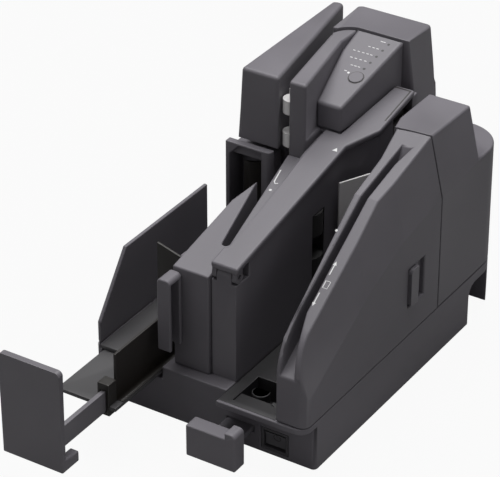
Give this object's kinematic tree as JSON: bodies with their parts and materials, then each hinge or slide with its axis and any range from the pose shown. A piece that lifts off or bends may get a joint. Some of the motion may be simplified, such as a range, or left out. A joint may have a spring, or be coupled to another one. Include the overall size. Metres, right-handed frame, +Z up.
{
  "type": "cheque scanner",
  "caption": "Desktop cheque scanner with an upright document hopper, exit pockets, hinged covers, an extending pocket tray and a card slot.",
  "frame": {"origin": "middle of the footprint's bounding box, on the table", "axes": "+X to the machine's right, +Y to its back, +Z up"},
  "size_m": [0.154, 0.32, 0.176],
  "materials": {
    "charcoal_plastic": "finely textured moulded ABS, charcoal",
    "dark_plastic": "smooth moulded ABS, dark grey",
    "black_plastic": "smooth moulded plastic, near black",
    "light_plastic": "smooth light grey plastic",
    "light_lens": "small indicator lenses, unlit",
    "steel": "zinc-plated steel",
    "board_laminate": "green lacquered circuit board",
    "roller_rubber": "ground rubber",
    "foot_rubber": "moulded rubber"
  },
  "bodies": {
    "base": {"lower_case": "charcoal_plastic", "bottom_cover": "dark_plastic", "rubber_feet": "foot_rubber", "case_screws": "steel", "circuit_board": "board_laminate", "rear_connectors": "black_plastic", "hopper_tray": "dark_plastic", "pocket_floor": "dark_plastic", "pocket_divider": "charcoal_plastic", "divider_end_tab": "charcoal_plastic", "centre_island": "charcoal_plastic", "centre_rear_housing": "charcoal_plastic", "control_panel": "charcoal_plastic", "panel_lights": "light_lens", "rear_top_cover": "charcoal_plastic", "right_rear_cover": "charcoal_plastic", "throat_guide": "light_plastic", "pocket_back_frame": "charcoal_plastic", "pocket_side_guard": "charcoal_plastic", "power_bezel": "black_plastic", "hinge_pins": "steel", "lid_pin": "steel", "drive_motor": "steel", "image_sensor": "dark_plastic", "magnetic_head": "steel", "ink_cartridge": "black_plastic", "drive_belt": "foot_rubber"},
    "door": {"right_cover": "charcoal_plastic", "card_head": "black_plastic"},
    "latch": {"latch_handle": "charcoal_plastic"},
    "lid": {"centre_cover": "charcoal_plastic"},
    "left_cover": {"left_rear_cover": "charcoal_plastic"},
    "rocker": {"power_rocker": "dark_plastic"},
    "button": {"panel_button": "charcoal_plastic"},
    "lever": {"stack_lever": "black_plastic"},
    "flap": {"pocket_flap": "black_plastic"},
    "diverter": {"diverter_flap": "black_plastic"},
    "plate": {"pressure_plate": "dark_plastic"},
    "feed": {"feed_roller": "roller_rubber"},
    "pickup": {"pickup_roller": "roller_rubber"},
    "retard": {"retard_roller": "roller_rubber"},
    "exit": {"exit_rollers": "light_plastic"},
    "motor": {"motor_pulley": "steel"},
    "arm": {"hopper_arm": "charcoal_plastic"},
    "extension": {"extension_tray": "dark_plastic", "guide_plate": "black_plastic", "bar_clamp": "black_plastic"},
    "bar": {"slide_bar": "charcoal_plastic", "stopper_plate": "charcoal_plastic"}
  },
  "joints": [
    {"name": "right_cover_hinge", "type": "hinge", "parent": "base", "child": "door", "pos_m": [0.067, -0.069, 0.042], "axis": [0, 0, -1], "range_deg": [0, 35]},
    {"name": "latch_slide", "type": "slide", "parent": "door", "child": "latch", "axis": [0, 1, 0], "range_m": [0, 0.003], "stiffness_N_per_m": 300},
    {"name": "centre_cover_hinge", "type": "hinge", "parent": "base", "child": "lid", "pos_m": [0.007, -0.052, 0.10531], "axis": [1, 0, 0], "range_deg": [0, 60]},
    {"name": "left_cover_hinge", "type": "hinge", "parent": "base", "child": "left_cover", "pos_m": [-0.0475, 0.151, 0.04], "axis": [0, 0, -1], "range_deg": [0, 25]},
    {"name": "power_rocker_pivot", "type": "hinge", "parent": "base", "child": "rocker", "pos_m": [0.04725, -0.061, 0.012], "axis": [-1, 0, 0], "range_deg": [0, 10]},
    {"name": "panel_button_press", "type": "slide", "parent": "base", "child": "button", "axis": [0, 0.3048, -0.9524], "range_m": [0, 0.001], "stiffness_N_per_m": 400},
    {"name": "stack_lever_pivot", "type": "hinge", "parent": "base", "child": "lever", "pos_m": [-0.037, 0.0575, 0.09], "axis": [0, 0, -1], "range_deg": [0, 20], "stiffness_Nm_per_rad": 0.01},
    {"name": "pocket_flap_pivot", "type": "hinge", "parent": "base", "child": "flap", "pos_m": [-0.0296, -0.039, 0.084], "axis": [0, 0, -1], "range_deg": [0, 40], "stiffness_Nm_per_rad": 0.01},
    {"name": "diverter_pivot", "type": "hinge", "parent": "base", "child": "diverter", "pos_m": [-0.021, 0.029, 0.08], "axis": [0, 0, 1], "range_deg": [-5, 8]},
    {"name": "pressure_plate_pivot", "type": "hinge", "parent": "base", "child": "plate", "pos_m": [0.046, -0.004, 0.07], "axis": [0, 0, 1], "range_deg": [0, 30]},
    {"name": "feed_roller_spin", "type": "hinge", "parent": "base", "child": "feed", "pos_m": [0.0175, 0.086, 0.077], "axis": [0, 0, 1], "continuous": true},
    {"name": "pickup_roller_spin", "type": "hinge", "parent": "base", "child": "pickup", "pos_m": [0.0065, 0.034, 0.082], "axis": [0, 0, 1], "continuous": true},
    {"name": "exit_rollers_spin", "type": "hinge", "parent": "base", "child": "exit", "pos_m": [-0.0204, 0.0607, 0.11], "axis": [0, 0, 1], "continuous": true},
    {"name": "motor_pulley_spin", "type": "hinge", "parent": "base", "child": "motor", "pos_m": [-0.009, 0.099, 0.024], "axis": [0, 0, 1], "continuous": true},
    {"name": "retard_roller_spin", "type": "hinge", "parent": "base", "child": "retard", "pos_m": [0.037, 0.086, 0.08], "axis": [0, 0, 1], "continuous": true},
    {"name": "hopper_arm_slide", "type": "slide", "parent": "base", "child": "arm", "axis": [0, 1, 0], "range_m": [0, 0.016]},
    {"name": "pocket_extension_slide", "type": "slide", "parent": "base", "child": "extension", "axis": [0, 1, 0], "range_m": [0, 0.037]},
    {"name": "stopper_bar_slide", "type": "slide", "parent": "extension", "child": "bar", "axis": [0, 1, 0], "range_m": [0, 0.034]}
  ],
  "couplings": [
    {"joint": "pickup_roller_spin", "follows": "feed_roller_spin", "ratio": 1},
    {"joint": "exit_rollers_spin", "follows": "feed_roller_spin", "ratio": 1},
    {"joint": "motor_pulley_spin", "follows": "feed_roller_spin", "ratio": 1}
  ]
}
